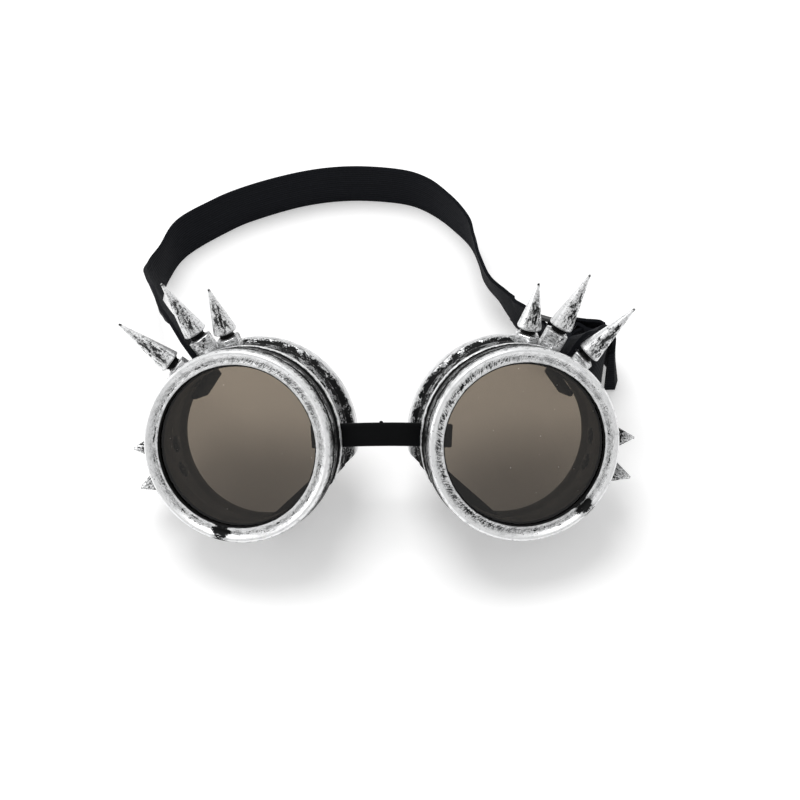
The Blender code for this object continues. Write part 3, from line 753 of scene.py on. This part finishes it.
def band(stations, thick, rows=14, soften=0.3, start=0.0):
    # a flat band along the stations, with its weave mapped in mm
    bm = bmesh.new()
    bmesh.ops.create_grid(bm, x_segments=len(stations) - 1, y_segments=rows, size=0.5)
    columns = sorted({round(v.co.x, 6) for v in bm.verts})
    reach = [start]
    for one, two in zip(stations, stations[1:]):
        reach.append(reach[-1] + (two[0] - one[0]).length)
    weave = bm.loops.layers.uv.new("weave")
    for face in bm.faces:
        for loop in face.loops:
            i = columns.index(round(loop.vert.co.x, 6))
            loop[weave].uv = (reach[i], (loop.vert.co.y + 0.5) * strap["wide"])
    for vert in bm.verts:
        centre, across, through, wide = stations[columns.index(round(vert.co.x, 6))]
        vert.co = (centre + across * vert.co.y * wide + through * thick / 2) * mm
    bmesh.ops.recalc_face_normals(bm, faces=bm.faces)
    outward = sum((f.normal.dot(stations[nearestStation(f, stations)][2]) for f in bm.faces[:]), 0.0)
    if outward < 0:
        bmesh.ops.reverse_faces(bm, faces=bm.faces)
    bmesh.ops.solidify(bm, geom=bm.faces[:], thickness=thick * mm)
    bmesh.ops.recalc_face_normals(bm, faces=bm.faces)
    softenEdges(bm, soften, 2, 55)
    return bm


def cupPoint(hand, radius, angle, depth):
    turn = atAngle(hands[hand], angle)
    return (frames[hand] @ (Vector((cos(turn) * radius, sin(turn) * radius, -depth)) * mm)) / mm


def slotPoint(hand, radius):
    return cupPoint(hand, radius, slot["angle"], slot["depth"])


strap = {
    "wide": 17.5, "thick": 1.1, "gathered": 12.4, "spacing": 1.5, "parting": (-14.0, 133.7, 8.91),
    "hem": (1.9, 9.0), "hemRadius": 22.7, "hemLift": 0.6, "hemShift": 3.8, "hemTilt": 20.0,
    "leftBlend": (-30, 118, 9), "rightBlend": (30, 104, 9),
}
slider = {
    "at": fromMiddle(56.0, 62.8, 10.9), "run": Vector((0.93, -0.37, 0.03)).normalized(),
    "up": Vector((0.08, -0.24, 0.96)), "bar": 2.4, "pitch": 6.5, "thick": 1.6, "rail": 1.6, "play": 0.6,
}


def sliderPoint(run, out, up=0):
    # along the strap, outwards from the loop, and up, from the slider's middle
    side = (slider["up"] - slider["run"] * slider["up"].dot(slider["run"])).normalized()
    outward = side.cross(slider["run"]).normalized()
    if outward.y < 0:
        outward = -outward
    return slider["at"] + slider["run"] * run + outward * out + side * up


def knot(x, y, z, lean, wide):
    return (fromMiddle(x, y, z), Vector(lean), wide)


def overSlider(steps, wide):
    rise = sliderPoint(0, 0, 1) - sliderPoint(0, 0)
    return [(sliderPoint(run, off), rise, wide) for run, off in steps]


def hemBlock(hand):
    size = (strap["hem"][0], strap["hem"][1], strap["gathered"])
    foot = Matrix.Translation(Vector((strap["hemRadius"] + strap["hemLift"], 0, -slot["depth"])) * mm)
    tilt = Matrix.Rotation(radians(-hands[hand] * strap["hemTilt"]), 4, "Z")
    turn = frames[hand] @ turnedBy(hands[hand], slot["angle"]) @ foot @ tilt
    bm = block(size, (0, -hands[hand] * strap["hemShift"], 0), turn, 0.9, 4)
    bm.loops.layers.uv.new("weave")
    return bm


def makeHeadStrap():
    wide, up = strap["wide"], Vector((0, 0, 1))
    out = frames["left"].col[2].to_3d()
    mouth = slotPoint("left", 33.0)
    knots = [
        (slotPoint("left", strap["hemRadius"]), out, strap["gathered"]),
        (slotPoint("left", 29.5), out, strap["gathered"]),
        (mouth, out, strap["gathered"] + 0.6),
        (mouth + Vector((-6.0, 9.9, -0.8)), Vector((-0.3, -0.3, 0.88)), 15.6),
        (mouth + Vector((-13.42, 24.0, -9.9)), Vector((-0.36, 0.3, 0.87)), wide),
        knot(-77.8, 73.0, 20.5, (-0.29, 0.45, 0.85), wide),
        knot(-80.6, 84.5, 12.5, (-0.1, 0.25, 0.95), wide),
        knot(-79.0, 96.5, 9.3, up, wide),
    ]
    for x, y, tipX, tipY in (
        (-74.0, 108.2, 0, 0.13), (-62.2, 117.8, 0, 0.08), (-50.3, 124.6, 0, 0.03), (-31.5, 131.3, 0, 0),
        (-14.0, 133.7, 0, 0), (4.0, 132.0, 0, 0), (14.0, 127.8, 0, 0), (22.4, 119.8, -0.06, 0),
        (29.2, 110.0, -0.12, 0), (31.7, 101.0, -0.17, 0),
    ):
        knots.append(knot(x, y, wide / 2 + 0.16, (tipX, tipY, 1), wide))
    knots += [
        knot(33.3, 92.5, 9.8, (-0.13, -0.2, 0.96), wide), knot(36.8, 84.0, 10.0, (-0.08, -0.42, 0.88), wide),
        knot(41.8, 76.6, 9.5, (0.06, -0.4, 0.9), wide), knot(44.7, 72.2, 9.6, (0.1, -0.3, 0.94), wide),
    ]
    through = (
        (-9.8, 2.6), (-7.9, 1.95), (-6.0, 1.8), (-4.6, 1.3), (-3.2, 0.0), (-1.9, -1.3), (-0.6, -1.75),
        (0.8, -1.7), (1.7, -1.2), (2.2, -0.3), (2.6, 0.8), (3.1, 1.9), (4.2, 2.8), (6.2, 3.2), (8.6, 3.6),
    )
    knots += overSlider(through, wide)
    knots += [
        knot(70.6, 62.6, 9.7, (0.05, -0.1, 0.97), wide), knot(75.0, 57.2, 9.2, (0, 0.1, 0.98), wide),
        knot(76.2, 50.6, 9.0, (-0.14, 0.12, 0.98), wide), knot(75.5, 48.5, 9.0, (-0.14, 0.12, 0.98), wide),
        knot(73.3, 48.3, 9.0, (-0.14, 0.12, 0.98), wide),
    ]
    stations = squared(alongKnots(knots, strap["spacing"]))
    parting = fromMiddle(*strap["parting"])
    split = min(range(len(stations)), key=lambda i: (stations[i][0] - parting).length)
    first = joined(band(stations[: split + 1], strap["thick"]), hemBlock("left"))
    one = place("strap_left_half", first, (webbingLook,), None, ("head_strap",))
    stations[3][0] * mm
    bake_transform(one)
    second = band(stations[split:], strap["thick"], start=lengthOf(stations[: split + 1]))
    two = place("strap_right_half", second, (webbingLook,), None, ("head_strap",))
    sliderPoint(-9, 1) * mm
    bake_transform(two)
    print("head strap", round(lengthOf(stations)), "mm")


def makeAnchorStrap():
    wide, out = strap["wide"], frames["right"].col[2].to_3d()
    mouth = slotPoint("right", 34.6)
    roundBar = (
        (7.6, -1.7), (6.4, -1.78), (5.3, -1.78), (4.6, -1.5), (4.3, -0.8), (4.3, 0.8),
        (4.6, 1.5), (5.3, 1.78), (6.4, 1.78), (8.2, 1.75), (10.4, 1.5),
    )
    sewnOn = ((6.8, -1.7), (8.2, -1.3), (9.2, -0.2), (10.2, 0.9), (11.2, 1.4))
    knots, lap = overSlider(roundBar, wide), overSlider(sewnOn, wide - 0.6)
    knots += [
        knot(70.0, 55.0, 11.0, (0.1, 0.2, 0.96), wide), knot(71.4, 48.0, 14.0, (0.1, 0.6, 0.7), 17.8),
        (mouth + Vector((11.0, 8.6, -18.2)), Vector((0.3, 0.75, 0.5)), 16.4),
        (mouth + Vector((6.0, 7.2, -7.5)), Vector((0.55, 0.1, 0.5)), 14.4),
        (mouth + Vector((2.0, 3.0, -1.5)), Vector((0.5, -0.3, 0.6)), 13.0),
        (mouth, out, strap["gathered"] + 0.6),
        *((slotPoint("right", r), out, strap["gathered"]) for r in (32.0, 29.5, strap["hemRadius"])),
    ]
    whole = joined(
        band(squared(alongKnots(knots, 1.0)), strap["thick"]),
        band(squared(alongKnots(lap, 1.0)), strap["thick"]), hemBlock("right"),
    )
    made = place("anchor_strap", whole, (webbingLook,), None, ("strap_anchor",))
    sliderPoint(10.5, 1.5) * mm
    slotPoint("right", 38) * mm
    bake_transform(made)


def makeSlider():
    inside = strap["wide"] + slider["play"]
    through = sliderPoint(0, 1) - sliderPoint(0, 0)
    axes = Matrix((slider["run"], through, slider["run"].cross(through))).transposed().to_4x4()
    seat = Matrix.Translation(slider["at"] * mm) @ axes
    size = (2 * slider["pitch"] + slider["bar"], slider["thick"], inside + 2 * slider["rail"])
    gap = slider["pitch"] - slider["bar"]
    tools = [block((gap, 6, inside), (side * slider["pitch"] / 2, 0, 0)) for side in (-1, 1)]
    made = carve(block(size, (0, 0, 0), Matrix(), 0.5, 3), tools)
    softenEdges(made, 0.22, 2, 50)
    place("three_bar_slider", made, (sliderLook,), "slider", ("strap_slider",), seat)


def makeBridge():
    def axes(hand):
        turn = atAngle(hands[hand], bridge["angle"])
        run = frames[hand].to_3x3() @ Vector((cos(turn), sin(turn), 0))
        return run, frames[hand].col[2].to_3d().cross(run)

    def at(hand, radius):
        return cupPoint(hand, radius, bridge["angle"], bridge["depth"])

    runLeft, upLeft = axes("left")
    runRight, upRight = (-v for v in axes("right"))
    start, end = at("left", 29.5), at("right", 29.5)
    pull = (end - start).length / 3
    a, b = start + runLeft * pull, end - runRight * pull
    tail = bridge["endRadius"] - bridge["tail"]
    path = [(at("left", r), runLeft, upLeft) for r in (tail, 22.4, 26, 29.5)]
    for i in range(1, 20):
        u = i / 20
        centre = start * (1 - u) ** 3 + 3 * a * u * (1 - u) ** 2 + 3 * b * u * u * (1 - u) + end * u**3
        path.append((centre, runLeft.lerp(runRight, u), upLeft.lerp(upRight, u)))
    path += [(at("right", r), runRight, upRight) for r in (29.5, 26, 22.4, tail)]
    stations = []
    for centre, run, up in path:
        run = run.normalized()
        up = (up - run * up.dot(run)).normalized()
        stations.append((centre, up, run.cross(up), bridge["wide"]))
    pieces = [band(stations, bridge["thick"], 6, 0.4)]
    for hand in hands:
        turn = frames[hand] @ turnedBy(hands[hand], bridge["angle"])
        size = (1.6, bridge["wide"], bridge["head"])
        pieces.append(block(size, (bridge["endRadius"] + 0.8, 0, -bridge["depth"]), turn, 0.35, 3))
    centre, up, through, _ = stations[len(stations) // 2]
    # the moulding's nub, on the upper edge
    nub = turnProfile([(0, 0.55), (0.3, 0.5), (0.5, 0.32), (0.62, 0), (0.62, -0.6), (0, -0.6)], 24, 0)
    nubSeat = Matrix((through, up.cross(through) * -1, up)).transposed().to_4x4()
    nubSeat = Matrix.Translation((centre + up * bridge["wide"] / 2) * mm) @ nubSeat
    bmesh.ops.transform(nub, matrix=nubSeat, verts=nub.verts)
    bmesh.ops.recalc_face_normals(nub, faces=nub.faces)
    pieces.append(nub)
    made = place("soft_bridge", joined(*pieces), (bridgeLook,), None, ("nose_bridge",))
    end * mm
    start * mm
    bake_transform(made)


makeHeadStrap()
makeAnchorStrap()
makeSlider()
makeBridge()
print("straps, slider and bridge made")


studio = {
    "floor": 0.86, "lift": 0.26, "world": 0.62,
    "key": (5.0, 0.55, (-0.14, 0.24, 0.9)), "fill": (1.2, 0.5, (-0.75, 0.05, 0.3)),  # watts, width, place
}


def makeFloor():
    bm = bmesh.new()
    bmesh.ops.create_grid(bm, x_segments=1, y_segments=1, size=3)
    mesh = bpy.data.meshes.new("paper")
    bm.to_mesh(mesh)
    bm.free()
    floor = linked("paper", mesh)
    look = Look("whitePaper")
    shade = look.node("ShaderNodeBsdfDiffuse", {}, Color=grey(studio["floor"]))
    glow = look.node("ShaderNodeEmission", {}, Color=grey(1), Strength=studio["lift"])
    kinds = ("Is Camera Ray", "Is Glossy Ray", "Is Transmission Ray")
    rays = [look.node("ShaderNodeLightPath", {}, out=kind) for kind in kinds]
    seen = (rays[0] + rays[1] + rays[2]).clamped()
    both = look.node("ShaderNodeAddShader", {}, shade, glow)
    mixed = look.node("ShaderNodeMixShader", {}, seen, shade, both)
    look.tree.links.new(mixed.socket, look.tree.nodes["Material Output"].inputs["Surface"])
    mesh.materials.append(look.material)


def areaLight(name, power, size, at):
    data = bpy.data.lights.new(name, "AREA")
    data.shape, data.size, data.energy = "DISK", size, power
    aim = (-Vector(at)).to_track_quat("-Z", "Y").to_matrix().to_4x4()
    linked(name, data).matrix_world = Matrix.Translation(at) @ aim


def makeWorld():
    world = bpy.data.worlds.new("studio")
    world.use_nodes = True
    sky = world.node_tree.nodes["Background"].inputs
    sky["Color"].default_value, sky["Strength"].default_value = (1, 1, 1, 1), studio["world"]
    bpy.context.scene.world = world


view = {
    "azimuth": 2.38, "elevation": 56.0, "roll": 2.43, "distance": 0.42, "lens": 62.65,
    "aim": (5.71, 16.08, 40.71),
}


def makeCamera():
    az, el, roll = (radians(view[key]) for key in ("azimuth", "elevation", "roll"))
    away = Vector((sin(az) * cos(el), -cos(az) * cos(el), sin(el)))
    right = (-away).cross(Vector((0, 0, 1))).normalized()
    down = (-away).cross(right)
    across, below = right * cos(roll) + down * sin(roll), down * cos(roll) - right * sin(roll)
    eye = fromMiddle(*view["aim"]) * mm + away * view["distance"]
    data = bpy.data.cameras.new("camera")
    data.lens, data.sensor_width, data.clip_start = view["lens"], 36, 0.01
    camera = linked("camera", data)
    camera.matrix_world = Matrix.Translation(eye) @ Matrix((across, -below, away)).transposed().to_4x4()
    bpy.context.scene.camera = camera


makeFloor()
makeWorld()
areaLight("keyLight", *studio["key"])
areaLight("fillLight", *studio["fill"])
makeCamera()
bpy.context.scene.view_settings.view_transform = "Standard"
print("floor, light and camera set")
